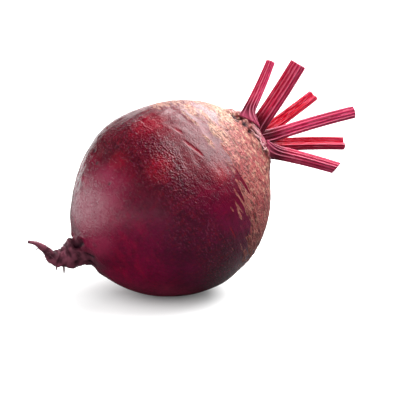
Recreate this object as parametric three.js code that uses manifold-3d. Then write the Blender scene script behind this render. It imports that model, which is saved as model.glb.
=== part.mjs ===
// A beetroot as it is sold loose: one swollen root with its crown and bent tap root, and six
// leaf stalks trimmed short, lying on its side on a table.
//
// Millimetres. In the part's frame +Z is up and +X points from the tap root to the crown. The
// origin is the middle of the small flat on the underside that the root rests on.
//
// Everything that grew is laid out in the plant's own frame: its origin is the middle of the
// bulb, +Z runs out through the crown, +X is the side that faces up as the beetroot lies, and
// angles round the plant turn from +X towards +Y.
import * as THREE from "three";
import { mergeVertices } from "three/addons/utils/BufferGeometryUtils.js";
import Module from "manifold-3d";

// How the beetroot lies.
const CROWN_RAISED = 29; // degrees that the plant's axis climbs towards the crown
const BULB_CENTRE = { x: -0.7, y: -0.3, z: 41.15 }; // from the middle of the rest flat

// The bulb and its crown: distances along the axis are from the middle of the bulb.
const BULB_RADIUS = 42.7;
const SHOULDER_REACH = 44.2; // where the round shoulder alone would close
const BELLY_REACH = 44.4; // where the round belly alone would close
const BELLY_TUCK = 0.13; // how much narrower than an ellipse the belly is at its end
const BELLY_TUCK_START = 1.5; // how late the belly narrows
const CROWN_RADIUS = 17;
const CROWN_REACH = 49.2;
const CROWN_SQUARENESS = 18; // how flat the top of the crown is
const CROWN_OFFSET = 4.7; // the crown stands this far to the upper side
const SHOULDER_BLEND = 4; // sharpness of the hollow between shoulder and crown

// The neck and the tap root.
const NECK_DROP = 46.3;
const NECK_RADIUS = 6.4;
const NECK_OFFSET = 5.2; // the tap root leaves the bulb this far to the upper side
const NECK_OFFSET_START = 8; // how late the axis swings over to the neck
const NECK_SPREAD = 0.45; // how fast the neck widens into the bulb
const NECK_BLEND = 2.4;
const TIP_RADIUS = 0.7;
const TAP_TAPER = 1.8;
const TAP_ROOT = new THREE.CubicBezierCurve3(
  new THREE.Vector3(NECK_OFFSET, 0, -NECK_DROP),
  new THREE.Vector3(NECK_OFFSET, 0, -NECK_DROP - 15.6),
  new THREE.Vector3(16.2, 3, -54),
  new THREE.Vector3(22.3, 3, -62.2),
);

// Relief of the skin. Each lump is height * cos(around * angle + turn + z / pitch).
const LUMPS = [
  { height: 1.03, around: 2, turn: 2.2, pitch: 60 },
  { height: 0.45, around: 3, turn: 1.7, pitch: -24 },
  { height: 0.5, around: 5, turn: 3.53, pitch: 15 },
];
// Wrinkles round the tap root: their height is a share of its radius, and they set in over the
// first `start` of its length.
const WRINKLE = { height: 0.07, pitch: 1.5, around: 3, start: 0.2 };
// Rows of corky bumps round the crown, at heights on the axis.
const LEAF_SCARS = { height: 0.75, around: 8, turn: 0.8, middle: 43.5, reach: 6, row: 3.4 };

// Thread-like side roots, cut or broken short, on the tap root.
const ROOTLETS = [
  { at: 0.1, angle: 215, length: 1.9, radius: 0.7 },
  { at: 0.2, angle: 172, length: 2.3, radius: 0.65 },
  { at: 0.31, angle: 150, length: 1.7, radius: 0.6 },
  { at: 0.26, angle: 20, length: 1.8, radius: 0.6 },
  { at: 0.16, angle: 290, length: 1.8, radius: 0.6 },
];
const ROOTLET_SINK = 1.4;
const ROOTLET_SIDES = 5;

// The trimmed leaf stalks. A stalk leaves the crown at `angle` round the plant and `out` from its
// axis. The line from its foot to its cut end leans `lean` degrees from the axis, and turns
// `veer` degrees aside from straight outward. `clasp` is what its sheath adds at the foot, as
// shares of half its width: first on the side of smaller angles, then on the side of larger
// ones. `tip` is the share of the width left at the cut, and `cut` is how far in degrees the cut
// is from square, more than 0 where the outer side is the longer one.
const STALKS = [
  {
    angle: 27, out: 12.2, lean: 31, veer: -55, length: 28.5,
    width: 6, depth: 5.2, tip: 0.64, clasp: [0, 1.9], cut: 0,
  },
  {
    angle: 61, out: 6.6, lean: 25, veer: -59, length: 36.4,
    width: 7.2, depth: 6.2, tip: 0.94, clasp: [0.1, 0.1], cut: -6,
  },
  {
    angle: 229, out: 7.7, lean: 16, veer: 28, length: 41.6,
    width: 5.4, depth: 5, tip: 0.96, clasp: [0.2, 0.1], cut: 15,
  },
  {
    angle: 167, out: 2.7, lean: 17, veer: 9, length: 49.3,
    width: 6.2, depth: 6.4, tip: 0.97, clasp: [0.1, 0.1], cut: 3,
  },
  {
    angle: 231, out: 13.1, lean: 33, veer: -43, length: 49.3,
    width: 6, depth: 5.8, tip: 0.92, clasp: [0.5, 0.9], cut: 12,
  },
  {
    angle: 116, out: 11.6, lean: 46, veer: 52, length: 34.4,
    width: 6.4, depth: 5.6, tip: 0.86, clasp: [0.9, 0.2], cut: -33,
  },
];
const STALK_SINK = 3.5; // how deep a stalk's foot sits in the crown
const STALK_CURVE = 4; // degrees that a stalk is more upright at its foot than over all
const STALK_KNEE = 0.45; // where along a stalk the curve is strongest
const SHEATH_LENGTH = 0.26; // share of a stalk over which its clasping sheath narrows
const CHANNEL_DEPTH = 0.6; // the groove on the inner side, as a share of half the depth
const CHANNEL_NARROWNESS = 10;
const CHANNEL_START = 0.5; // share of a stalk by which the channel is at its deepest
const STALK_RIBS = 13;
const RIB_HEIGHT = 0.32;
const LEAST_SHEATH = 0.001; // above 0, so that the curl of a section has a radius

// Clearance between pieces that touch, and how finely the surfaces are divided.
const GAP = 0.3;
const TABLE = { width: 200, depth: 100 };
const ROUND_SIDES = 48;
const BULB_ROWS = 38;
const TAP_ROWS = 14;
const STALK_ROWS = 9;
const ROWS_TO_FOOT = 1.3; // above 1 crowds a stalk's rows towards its foot

const X = new THREE.Vector3(1, 0, 0);
const Y = new THREE.Vector3(0, 1, 0);
const Z = new THREE.Vector3(0, 0, 1);
const TAP_LENGTH = TAP_ROOT.getLength();
const radians = THREE.MathUtils.degToRad;

const wasm = await Module();
wasm.setup();

// Two radii joined smoothly: the larger one wins, with a hollow fillet where they meet.
function blended(a, b, sharpness) {
  return Math.pow(a ** sharpness + b ** sharpness, 1 / sharpness);
}

// A closed skin over rings of points, with a point at each end. The rings run anticlockwise
// as seen from the far end.
function skin(start, rings, end) {
  const sides = rings[0].length;
  const points = [start, ...rings.flat(), end];
  const last = points.length - 1;
  const at = (ring, side) => 1 + ring * sides + (side % sides);
  const index = [];
  for (let side = 0; side < sides; side++) {
    index.push(0, at(0, side + 1), at(0, side));
    for (let ring = 0; ring + 1 < rings.length; ring++) {
      index.push(at(ring, side), at(ring, side + 1), at(ring + 1, side));
      index.push(at(ring, side + 1), at(ring + 1, side + 1), at(ring + 1, side));
    }
    index.push(last, at(rings.length - 1, side), at(rings.length - 1, side + 1));
  }
  return new THREE.BufferGeometry().setFromPoints(points).setIndex(index);
}

function toSolid(geometry) {
  const bare = new THREE.BufferGeometry();
  bare.setAttribute("position", geometry.getAttribute("position"));
  bare.setIndex(geometry.index);
  const merged = mergeVertices(bare);
  return new wasm.Manifold(
    new wasm.Mesh({
      numProp: 3,
      vertProperties: merged.getAttribute("position").array,
      triVerts: new Uint32Array(merged.index.array),
    }),
  );
}

function toGeometry(solid) {
  const mesh = solid.getMesh();
  const geometry = new THREE.BufferGeometry();
  geometry.setAttribute("position", new THREE.BufferAttribute(mesh.vertProperties, 3));
  geometry.setIndex(new THREE.BufferAttribute(mesh.triVerts, 1));
  geometry.computeVertexNormals();
  return geometry;
}

// ---- The root: bulb, crown and tap root grew as one piece ----

// The plain radius of the bulb at a height on its axis, before any relief.
function bulbRadius(z) {
  if (z > 0) {
    const shoulder = BULB_RADIUS * Math.sqrt(Math.max(0, 1 - (z / SHOULDER_REACH) ** 2));
    const top = Math.max(0, 1 - (z / CROWN_REACH) ** CROWN_SQUARENESS);
    return blended(shoulder, CROWN_RADIUS * Math.sqrt(top), SHOULDER_BLEND);
  }
  const down = Math.min(1, -z / BELLY_REACH);
  const tuck = 1 - BELLY_TUCK * down ** BELLY_TUCK_START;
  const belly = BULB_RADIUS * Math.sqrt(1 - down ** 2) * tuck;
  const neck = NECK_RADIUS + NECK_SPREAD * (z + NECK_DROP);
  return blended(belly, neck * down ** NECK_BLEND, NECK_BLEND);
}

// The bulb's axis isn't straight: both ends swing to the upper side.
function bulbAxis(z) {
  const x =
    z > 0
      ? CROWN_OFFSET * (z / CROWN_REACH) ** 2
      : NECK_OFFSET * (-z / NECK_DROP) ** NECK_OFFSET_START;
  return new THREE.Vector3(x, 0, z);
}

// How far the skin stands out from the plain bulb: broad lumps, and rows of corky bumps where
// earlier leaves grew, round the crown.
function bulbRelief(angle, z) {
  const plump = bulbRadius(z) / BULB_RADIUS;
  let out = 0;
  for (const lump of LUMPS) {
    out += lump.height * plump * Math.cos(lump.around * angle + lump.turn + z / lump.pitch);
  }
  const near = Math.max(0, 1 - ((z - LEAF_SCARS.middle) / LEAF_SCARS.reach) ** 2);
  const round = Math.cos(LEAF_SCARS.around * angle + LEAF_SCARS.turn);
  const rows = Math.cos((Math.PI * (z - LEAF_SCARS.middle)) / LEAF_SCARS.row);
  return out + LEAF_SCARS.height * near * round * rows;
}

function bulbRing(z) {
  const middle = bulbAxis(z);
  return Array.from({ length: ROUND_SIDES }, (_, side) => {
    const angle = (2 * Math.PI * side) / ROUND_SIDES;
    const radius = bulbRadius(z) + bulbRelief(angle, z);
    return new THREE.Vector3(radius * Math.cos(angle), radius * Math.sin(angle), 0).add(middle);
  });
}

function tapRadius(t) {
  return TIP_RADIUS + (NECK_RADIUS - TIP_RADIUS) * (1 - t) ** TAP_TAPER;
}

// A point on the tap root's surface: t runs from the neck to the tip.
function tapPoint(t, angle, radius) {
  const along = TAP_ROOT.getTangent(t);
  const side = Y.clone().addScaledVector(along, -Y.dot(along)).normalize();
  const up = new THREE.Vector3().crossVectors(along, side);
  return TAP_ROOT.getPoint(t)
    .addScaledVector(up, radius * Math.cos(angle))
    .addScaledVector(side, radius * Math.sin(angle));
}

function tapRing(t) {
  const fade = Math.min(1, t / WRINKLE.start);
  return Array.from({ length: ROUND_SIDES }, (_, side) => {
    const angle = (2 * Math.PI * side) / ROUND_SIDES;
    const wave = Math.cos((t * TAP_LENGTH) / WRINKLE.pitch + Math.cos(WRINKLE.around * angle));
    return tapPoint(t, angle, tapRadius(t) * (1 + WRINKLE.height * wave * fade));
  });
}

function rootGeometry() {
  const rings = [];
  for (let row = 1; row <= BULB_ROWS; row++) {
    const turn = Math.cos((Math.PI * row) / BULB_ROWS);
    rings.push(bulbRing(turn > 0 ? CROWN_REACH * turn : NECK_DROP * turn));
  }
  for (let row = 1; row <= TAP_ROWS; row++) rings.push(tapRing(row / TAP_ROWS));
  const tip = TAP_ROOT.getPoint(1).addScaledVector(TAP_ROOT.getTangent(1), TIP_RADIUS);
  // The rings run from the crown down, so the skin is turned to face out.
  return skin(bulbAxis(CROWN_REACH), rings.map((ring) => ring.reverse()), tip);
}

function rootletGeometry({ at, angle, length, radius }) {
  const turn = radians(angle);
  const foot = tapPoint(at, turn, tapRadius(at) - ROOTLET_SINK);
  const end = tapPoint(at, turn, tapRadius(at) + length);
  const whole = foot.distanceTo(end);
  const cone = new THREE.CylinderGeometry(radius / 3, radius, whole, ROOTLET_SIDES);
  const way = end.clone().sub(foot).normalize();
  cone.applyQuaternion(new THREE.Quaternion().setFromUnitVectors(Y, way));
  const middle = foot.add(end).multiplyScalar(0.5);
  return cone.translate(middle.x, middle.y, middle.z);
}

// ---- The leaf stalks ----

// A stalk's middle line in its own frame: Z = 0 is the crown's top, and +X leads outward.
function stalkLine({ out, lean, veer, length }) {
  const leaning = (degrees) =>
    Z.clone().applyAxisAngle(Y, radians(degrees)).applyAxisAngle(Z, radians(veer));
  const foot = new THREE.Vector3(out, 0, -STALK_SINK);
  const knee = foot.clone().addScaledVector(leaning(lean - STALK_CURVE), length * STALK_KNEE);
  const end = foot.clone().addScaledVector(leaning(lean), length);
  return new THREE.QuadraticBezierCurve3(foot, knee, end);
}

// A ring round a stalk at share `t` of its length. The section is an oval with ribs all round and
// a channel on its inner side. Near the foot it is wider, flatter and curled round the crown, as
// a sheath. `grow` swells it evenly.
function stalkRing(stalk, line, t, grow) {
  const sheath = Math.max(0, 1 - t / SHEATH_LENGTH) ** 2;
  const taper = 1 + (stalk.tip - 1) * t;
  const halfWidths = stalk.clasp.map((clasp) => (stalk.width / 2) * (taper + clasp * sheath) + grow);
  const halfDepth = (stalk.depth / 2) * taper + grow;
  const channel = CHANNEL_DEPTH * (1 - sheath) * Math.min(1, t / CHANNEL_START);
  const curl = Math.max(sheath, LEAST_SHEATH) / stalk.out;
  const slant = t ** 4 * Math.tan(radians(stalk.cut));
  const middle = line.getPoint(t);
  const along = line.getTangent(t);
  const side = Y.clone().addScaledVector(along, -Y.dot(along)).normalize();
  const outer = new THREE.Vector3().crossVectors(side, along);
  return Array.from({ length: 2 * STALK_RIBS }, (_, step) => {
    const angle = (Math.PI * step) / STALK_RIBS;
    const rib = (step % 2 ? -RIB_HEIGHT : RIB_HEIGHT) / 2;
    const across = (halfWidths[step < STALK_RIBS ? 1 : 0] + rib) * Math.sin(angle);
    const inward = Math.max(0, -Math.cos(angle));
    const thick = (halfDepth + rib) * (Math.cos(angle) + channel * inward ** CHANNEL_NARROWNESS);
    const turn = curl * across;
    return middle
      .clone()
      .addScaledVector(side, Math.sin(turn) * (1 / curl + thick))
      .addScaledVector(outer, Math.cos(turn) * thick)
      .addScaledVector(X, (Math.cos(turn) - 1) / curl)
      .addScaledVector(along, slant * thick);
  });
}

function stalkGeometry(stalk, grow = 0) {
  const line = stalkLine(stalk);
  const rings = [];
  for (let row = 0; row <= STALK_ROWS; row++) {
    rings.push(stalkRing(stalk, line, (row / STALK_ROWS) ** ROWS_TO_FOOT, grow));
  }
  const below = line.getTangent(0).multiplyScalar(-grow);
  if (grow > 0) rings.unshift(rings[0].map((point) => point.clone().add(below)));
  const middleOf = (ring) =>
    ring.reduce((sum, point) => sum.add(point), new THREE.Vector3()).divideScalar(ring.length);
  return skin(middleOf(rings[0]), rings, middleOf(rings.at(-1)));
}

// ---- The plant, put together and laid down ----

const rootMaterial = new THREE.MeshStandardMaterial({
  color: "#6d1a33",
  roughness: 0.42,
  metalness: 0,
});
const stalkMaterial = new THREE.MeshStandardMaterial({
  color: "#c02a48",
  roughness: 0.38,
  metalness: 0,
});

const plant = new THREE.Group();
plant.rotation.set(0, radians(90 - CROWN_RAISED), Math.PI);
plant.position.set(BULB_CENTRE.x, BULB_CENTRE.y, BULB_CENTRE.z);

const crown = new THREE.Group();
crown.position.copy(bulbAxis(CROWN_REACH));
plant.add(crown);

const stalks = STALKS.map((stalk, number) => {
  const mesh = new THREE.Mesh(stalkGeometry(stalk), stalkMaterial);
  mesh.name = `leaf_stalk_${number + 1}`;
  mesh.rotation.z = radians(stalk.angle);
  crown.add(mesh);
  return mesh;
});
plant.updateMatrixWorld(true);
const toPlant = plant.matrixWorld.clone().invert();

// The root is cut flat where it rests on the table, and has a socket for each stalk.
let rootSolid = toSolid(rootGeometry());
for (const rootlet of ROOTLETS) rootSolid = rootSolid.add(toSolid(rootletGeometry(rootlet)));
const table = new THREE.BoxGeometry(TABLE.width, TABLE.width, TABLE.depth);
table.translate(0, 0, -TABLE.depth / 2).applyMatrix4(toPlant);
rootSolid = rootSolid.subtract(toSolid(table));
stalks.forEach((mesh, number) => {
  const socket = stalkGeometry(STALKS[number], GAP);
  socket.applyMatrix4(mesh.matrixWorld).applyMatrix4(toPlant);
  rootSolid = rootSolid.subtract(toSolid(socket));
});

const root = new THREE.Mesh(toGeometry(rootSolid), rootMaterial);
root.name = "root";
plant.add(root);

const beetroot = new THREE.Group();
beetroot.add(plant);

export default beetroot;
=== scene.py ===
"""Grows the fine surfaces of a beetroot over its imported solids, and lays it on a pale table.

Shapes are worked out in millimetres in the plant's own frame: its origin is the middle of the
bulb, z runs out through the crown, x is the side that faces up as the beetroot lies, and angles
round the plant turn from x towards y. laid_down() takes them to metres in the part's frame.
"""

import math
from itertools import product

import bpy
import numpy as np
from bpy.props import FloatProperty, FloatVectorProperty, IntProperty, PointerProperty
from mathutils import Matrix, Vector


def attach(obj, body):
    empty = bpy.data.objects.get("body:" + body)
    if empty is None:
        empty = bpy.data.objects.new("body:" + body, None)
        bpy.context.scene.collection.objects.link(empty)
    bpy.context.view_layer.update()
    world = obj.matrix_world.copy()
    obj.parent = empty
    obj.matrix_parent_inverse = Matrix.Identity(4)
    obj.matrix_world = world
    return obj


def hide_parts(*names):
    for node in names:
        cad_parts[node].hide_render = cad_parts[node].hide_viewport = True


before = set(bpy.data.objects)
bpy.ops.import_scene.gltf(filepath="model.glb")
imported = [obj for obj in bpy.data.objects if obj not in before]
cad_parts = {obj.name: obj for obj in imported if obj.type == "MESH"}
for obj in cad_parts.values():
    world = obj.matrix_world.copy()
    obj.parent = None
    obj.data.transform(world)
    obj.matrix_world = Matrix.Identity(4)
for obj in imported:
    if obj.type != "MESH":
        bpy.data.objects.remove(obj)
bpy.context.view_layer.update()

bl_info = {
    "name": "Beetroot",
    "version": (1, 0, 0),
    "blender": (4, 5, 0),
    "location": "3D View > Sidebar > Beetroot",
    "description": "Grows a beetroot's skin, leaf stalks and fine roots over its packed solids",
    "category": "Add Mesh",
}

MM = 0.001


def rows(names, *values):
    """A dictionary for each row of values, all with the same names."""
    return [dict(zip(names.split(), row)) for row in values]


# How the beetroot lies.
CROWN_RAISED = math.radians(29)
BULB_CENTRE = np.array([-0.7, -0.3, 41.15])
PLANT_AXES = np.array([
    [-math.sin(CROWN_RAISED), 0, math.cos(CROWN_RAISED)],
    [0, -1, 0],
    [math.cos(CROWN_RAISED), 0, math.sin(CROWN_RAISED)],
])

# The bulb and its crown: distances along the axis are from the middle of the bulb. Another
# program's fit to an outline gave the bulb's radius, both reaches and the lumps' heights and
# turns, before they were rounded; the first lump's turn was then changed by hand.
BULB_RADIUS = 42.7
SHOULDER_REACH = 44.2
BELLY_REACH = 44.4
BELLY_TUCK = 0.13
BELLY_TUCK_START = 1.5
CROWN_RADIUS = 17
CROWN_REACH = 49.2
CROWN_SQUARENESS = 18
CROWN_OFFSET = 4.7
CROWN_FADE = 16
SHOULDER_BLEND = 4
LUMPS = rows(
    "height around turn pitch",
    (1.03, 2, 2.2, 60),
    (0.45, 3, 1.7, -24),
    (0.5, 5, 3.53, 15),
)
LEAF_SCARS = {"height": 0.75, "around": 8, "turn": 0.8, "middle": 43.5, "reach": 6, "row": 3.4}

# The neck and the tap root. Another program's fit to a middle line gave the end of TAP_ROOT, and
# the two points before it were moved by hand from what it gave.
NECK_DROP = 46.3
NECK_RADIUS = 6.4
NECK_OFFSET = 5.2
NECK_OFFSET_START = 8
NECK_SPREAD = 0.45
NECK_BLEND = 2.4
TIP_RADIUS = 0.7
TAP_TAPER = 1.8
TAP_ROOT = [
    (NECK_OFFSET, 0, -NECK_DROP),
    (NECK_OFFSET, 0, -NECK_DROP - 15.6),
    (16.2, 3, -54),
    (22.3, 3, -62.2),
]
WRINKLE = {"height": 0.07, "pitch": 1.5, "around": 3, "start": 0.2}
ROOTLETS = rows(
    "at angle length radius",
    (0.1, 215, 1.9, 0.7),
    (0.2, 172, 2.3, 0.65),
    (0.31, 150, 1.7, 0.6),
    (0.26, 20, 1.8, 0.6),
    (0.16, 290, 1.8, 0.6),
)
ROOTLET_SINK = 1.4

# The trimmed leaf stalks, each by its angle round the plant and how far out from the axis it
# stands, how it leans and veers, its size, what its sheath adds on either side at the foot, how
# slanted its cut is, and how pink it is, from 0 for deep crimson to 1. Another program worked out
# the first five numbers of each from where its foot and its cut end are; the first stalk's angle
# and out were then changed by hand.
# A stalk's pink is partly painted light: the pinker stalks stand for a sheen, and each is painted pinker
# on one side by how it lies.
STALKS = [
    {"angle": 27, "out": 12.2, "lean": 31, "veer": -55, "length": 28.5, "width": 6,
     "depth": 5.2, "tip": 0.64, "clasp": (0, 1.9), "cut": 0, "pink": 0.75},
    {"angle": 61, "out": 6.6, "lean": 25, "veer": -59, "length": 36.4, "width": 7.2,
     "depth": 6.2, "tip": 0.94, "clasp": (0.1, 0.1), "cut": -6, "pink": 0.52},
    {"angle": 229, "out": 7.7, "lean": 16, "veer": 28, "length": 41.6, "width": 5.4,
     "depth": 5, "tip": 0.96, "clasp": (0.2, 0.1), "cut": 15, "pink": 0},
    {"angle": 167, "out": 2.7, "lean": 17, "veer": 9, "length": 49.3, "width": 6.2,
     "depth": 6.4, "tip": 0.97, "clasp": (0.1, 0.1), "cut": 3, "pink": 1},
    {"angle": 231, "out": 13.1, "lean": 33, "veer": -43, "length": 49.3, "width": 6,
     "depth": 5.8, "tip": 0.92, "clasp": (0.5, 0.9), "cut": 12, "pink": 0.2},
    {"angle": 116, "out": 11.6, "lean": 46, "veer": 52, "length": 34.4, "width": 6.4,
     "depth": 5.6, "tip": 0.86, "clasp": (0.9, 0.2), "cut": -33, "pink": 0.8},
]
STALK_SINK = 3.5
STALK_CURVE = 4
STALK_KNEE = 0.45
SHEATH_LENGTH = 0.26
CHANNEL_DEPTH = 0.6
CHANNEL_NARROWNESS = 10
CHANNEL_START = 0.5
STALK_RIBS = 13
LEAST_SHEATH = 0.001

# How finely the surfaces are divided.
ROOT_SIDES = 300
BULB_ROWS = 250
TAP_ROWS = 78
STALK_SIDES = STALK_RIBS * 14
STALK_ROWS = 110
CUT_RINGS = np.array([0.97, 0.93, 0.84, 0.7, 0.55, 0.4, 0.25, 0.1])
CURVE_STEPS = 2000

# Where each kind of skin starts, by height on the plant's axis. The cork's edge is tilted, and
# the creases stay away from the smooth side, an angle in radians.
CORK_EDGE = {"height": 22.5, "tilt": 9, "turn": 0.35}
COLLAR_START = 45.4
HEART_START = 48
TAP_START = -43
SMOOTH_SIDE = 2.4
# The crack between the corky shoulder and the leaf bases, and the angles between which it opens
# and closes on the near side.
RIM_CRACK = {
    "height": 44.6, "waver": 0.85, "width": 0.9, "depth": 1.3, "opens": (48, 62), "closes": (96, 108),
}
# The flat: how wide its soft edge is, and how far above the table the skin is bent for it.
FLAT_EDGE = 0.25
FLAT_REACH = 3

# The marks on the skin. Another program gave the angle and height of most of those on the near side, and
# some were then moved a little by hand. The rest were placed one by one.

# The large scratches on the bulb, which run from one angle and height to another.
SCRATCHES = rows(
    "angles heights width",
    ((41, 55), (13.2, 15.6), 0.75),
    ((30, 35.5), (13.6, 14.8), 0.55),
)
# The range of each number that is drawn for a small scratch, a short fibre and a root hair.
SMALL_SCRATCH = {
    "angle": (95, 350), "height": (-22, 27), "reach": (2.5, 8), "tilt": (-1, 1), "width": (0.35, 0.6),
}
SHORT_FIBRE = {
    "angle": (0, 360), "reach": (6, 18), "height": (44.4, 47.4), "drop": (-1.6, 0.5),
    "lift": (0.5, 1.3), "half_width": (0.12, 0.3),
}
ROOT_HAIR = {
    "at": (0.02, 0.9), "turn": (0, 2 * np.pi), "length": (0.6, 1.8), "bend": (-0.4, 0.4),
    "stray": (-0.8, 0.8), "half_width": (0.09, 0.17),
}
SCRATCH_SEED, FIBRE_SEED, HAIR_SEED = 7, 21, 5
# Pits where side roots broke off near the tap root, and a few on the bulb.
ROOT_PITS = rows(
    "angle height size depth",
    (42, -45.2, 2.4, 1.5),
    (88, -43.6, 1.3, 0.7),
    (122, -44.5, 1.7, 0.9),
    (-7, -17.1, 1.5, 0.5),
    (-23, -6, 1.1, 0.35),
    (-14, -11, 0.9, 0.4),
    (6, -20, 0.9, 0.35),
    (31, -22, 0.8, 0.3),
    (154, -42, 1.4, 0.6),
    (235, -44, 1.9, 1),
    (290, -43, 1.6, 0.8),
)
# Holes in the corky rim of the crown.
RIM_PITS = rows(
    "angle height size depth",
    (19, 42, 2.2, 1.6),
    (28, 43, 2.5, 1.8),
    (34, 41, 1.4, 1),
    (43, 43.4, 1.9, 1.4),
    (57, 43, 1.1, 0.9),
    (148, 42.6, 1.5, 1.3),
    (196, 43.2, 1.3, 1),
    (262, 42.2, 1.7, 1.4),
    (330, 43, 1.2, 1),
)
# Where the skin is thin and the flesh glows through it.
BLUSHES = rows(
    "angle height size",
    (16, 6, 11),
    (24, -13.7, 7),
    (47, -2, 9),
    (70, 18, 6),
    (150, 6, 12),
    (228, -8, 14),
    (305, 8, 12),
)
# Where the skin is smoothest, with a waxy bloom. Its mauve colour is partly a painted sheen.
BLOOMS = rows(
    "angle height size",
    (31, -30, 21),
    (66, -40, 9),
    (150, -26, 22),
    (262, -28, 24),
)
# Loose scurf on the bare skin beyond the cork's edge.
SCURF = rows(
    "angle height size",
    (-5, 19, 12),
    (3, 26, 9),
)
# Torn strips of the leaf sheaths on the near side of the rim. Each runs from one angle and
# height to another, and lifts off at its end.
TORN_STRIPS = rows(
    "angles heights lift width",
    ((74, 50), (46.2, 45.2), 1.6, 1.15),
    ((80, 60), (45.4, 43.6), 1.6, 1),
    ((70, 46), (47.4, 46.6), 1.5, 0.9),
    ((92, 76), (45.6, 43.4), 1.3, 0.85),
    ((100, 88), (46, 43.2), 1.1, 0.75),
)

# The camera, as angles round the table and from its level, and how far to the right of the
# bulb's middle and above it the camera aims.
CAMERA = {
    "azimuth": -21, "elevation": 15, "distance": 0.62, "lens": 127.2, "right": 0.0129, "up": 0.0007,
}
# Soft boxes, in metres: where each hangs, what it is aimed at, the direction of its width, and
# its size. Each is as bright as the stage's setting of the same name.
SOFT_BOXES = {
    "side_light": {
        "place": (-0.9, 0.45, 0.11), "aim": (0, 0, 0.05), "across": (0.45, 0.9, 0), "size": (0.9, 0.23),
    },
    "top_light": {
        "place": (0.71, 0.27, 1.13), "aim": (0, 0, 0.04), "across": (0.18, 0.98, -0.08),
        "size": (2.4, 1.15),
    },
    "back_light": {
        "place": (0.8, 1.9, 0.35), "aim": (0, 0, 0.2), "across": (1, 0, 0), "size": (1.7, 0.9),
    },
    "front_light": {
        "place": (-0.75, -0.85, 0.5), "aim": (0, 0, 0.04), "across": (0.75, -0.66, 0),
        "size": (1.4, 0.9),
    },
    "table_fill": {
        "place": (-0.3, -1.5, 1.3), "aim": (0, 0, 0), "across": (1, 0, 0), "size": (3, 2.4),
    },
}
# The table, in metres: half its side, how far it lies below the beetroot, how far out its glow has faded
# in, which paints a soft shadow round the beetroot's foot, where it turns as white as the background, and
# the part that the skin mirrors, which glows for reflections alone as a painted reflection.
TABLE = {
    "half": 6, "below": 0.0001, "glow": 0.042, "whitens": (0.5, 1.6),
    "mirrored_side": (-0.9, 0.4, 0), "mirrored": (0.1, 0.4),
}


def to_linear(colour):
    """An sRGB hex colour as linear red, green and blue."""
    parts = [int(colour[i : i + 2], 16) / 255 for i in (1, 3, 5)]
    return tuple(p / 12.92 if p <= 0.04045 else ((p + 0.055) / 1.055) ** 2.4 for p in parts)


# ---- Settings ----


def colour_setting(name, description, colour):
    """A colour that can be changed, given as sRGB hex."""
    return FloatVectorProperty(
        name=name, description=description, subtype="COLOR", size=3, min=0, max=1,
        default=to_linear(colour))


def length_setting(name, description, millimetres):
    """A length that can be changed."""
    return FloatProperty(
        name=name, description=description, unit="LENGTH", min=0, default=millimetres * MM)


class BeetrootSkin(bpy.types.PropertyGroup):
    """The root's skin."""

    red: colour_setting("Red skin", "The bulb's skin on its upper side", "#700c22")
    crimson: colour_setting("Crimson", "Where the skin is thin and the flesh shows through", "#900d24")
    purple: colour_setting("Purple skin", "The bulb's skin lower down", "#70023a")
    ruby: colour_setting("Ruby skin", "The thin skin towards the tap root", "#a0043e")
    # The mauve is partly a painted sheen on the smooth belly.
    mauve: colour_setting("Mauve bloom", "The waxy bloom on the smooth belly", "#a2284e")
    # Pale flecks on the pebbling, partly painted glints.
    fleck: colour_setting("Flecks", "Worn tops of the pebbling", "#94405e")
    # The dark skin also paints shade: in the tap root's folds, in the pits and the crack, at the table and
    # in the crown's heart.
    dark: colour_setting("Dark skin", "Blotches, creases and pits", "#2c0818")
    cork: colour_setting("Cork", "The scurfy skin of the shoulder and the crown", "#b47c66")
    cork_pale: colour_setting("Pale cork", "Dry flakes of cork", "#e2b99c")
    cork_tan: colour_setting("Tan cork", "Older, drier cork, near the leaves", "#b08a58")
    cork_red: colour_setting("Red cork", "Thin cork lower down, with red skin under it", "#a8454a")
    cork_brown: colour_setting("Brown cork", "The cracks and the edge of the cork", "#501c20")
    collar: colour_setting("Leaf bases", "What the outer leaves left on the rim", "#c8607a")
    tap: colour_setting("Tap root", "The skin of the tap root", "#8e4c5e")
    pebble_height: length_setting("Pebble height", "How far the fine pebbling stands out", 0.08)
    wrinkle_height: length_setting("Wrinkle height", "The fine wrinkles along and round the bulb", 0.12)
    cork_height: length_setting("Cork height", "How thick the scurf of the crown is", 0.32)
    fold_height: length_setting("Fold height", "The folds of the tap root", 0.8)
    scratches: IntProperty(
        name="Scratches", description="Small scratches all round, besides the large ones",
        min=0, default=34)


class BeetrootStalks(bpy.types.PropertyGroup):
    """The trimmed leaf stalks."""

    crimson: colour_setting("Crimson flesh", "The reddest stalks between their ribs", "#d00c2a")
    # The pink also paints a sheen and a lighter side on the stalks.
    pink: colour_setting("Pink flesh", "The pinkest stalks between their ribs", "#ec4e7e")
    # The pale ribs are partly painted highlights.
    rib: colour_setting("Ribs", "The pale crests of the ribs", "#ff90ae")
    groove: colour_setting("Grooves", "Between the ribs", "#84071c")
    sheath: colour_setting("Sheath", "The clasping sheath at a stalk's foot", "#cc5878")
    # Painted shade at the stalks' feet, where they crowd together.
    shade: colour_setting("Foot", "The dark inner side of a stalk's foot", "#420614")
    cut: colour_setting("Cut", "The cut face of a stalk", "#c2637f")
    vein: colour_setting("Veins", "Bundles of vessels on the cut face, and its drying edge", "#7d2740")
    rib_height: length_setting("Rib height", "How far the ribs stand out", 0.4)


class BeetrootStrands(bpy.types.PropertyGroup):
    """Torn sheath fibres, rootlets and root hairs."""

    fibre: colour_setting("Fibres", "Torn fibres of the leaf sheaths", "#f6bcc4")
    dry: colour_setting("Dry ends", "Their dried ends", "#9c6248")
    rootlet: colour_setting("Rootlets", "Side roots cut short, and root hairs", "#70404c")
    fibres: IntProperty(
        name="Fibres", description="How many short fibres stand all round the rim",
        min=0, default=34)
    hairs: IntProperty(
        name="Hairs", description="How many root hairs the tap root has", min=0, default=60)


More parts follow.
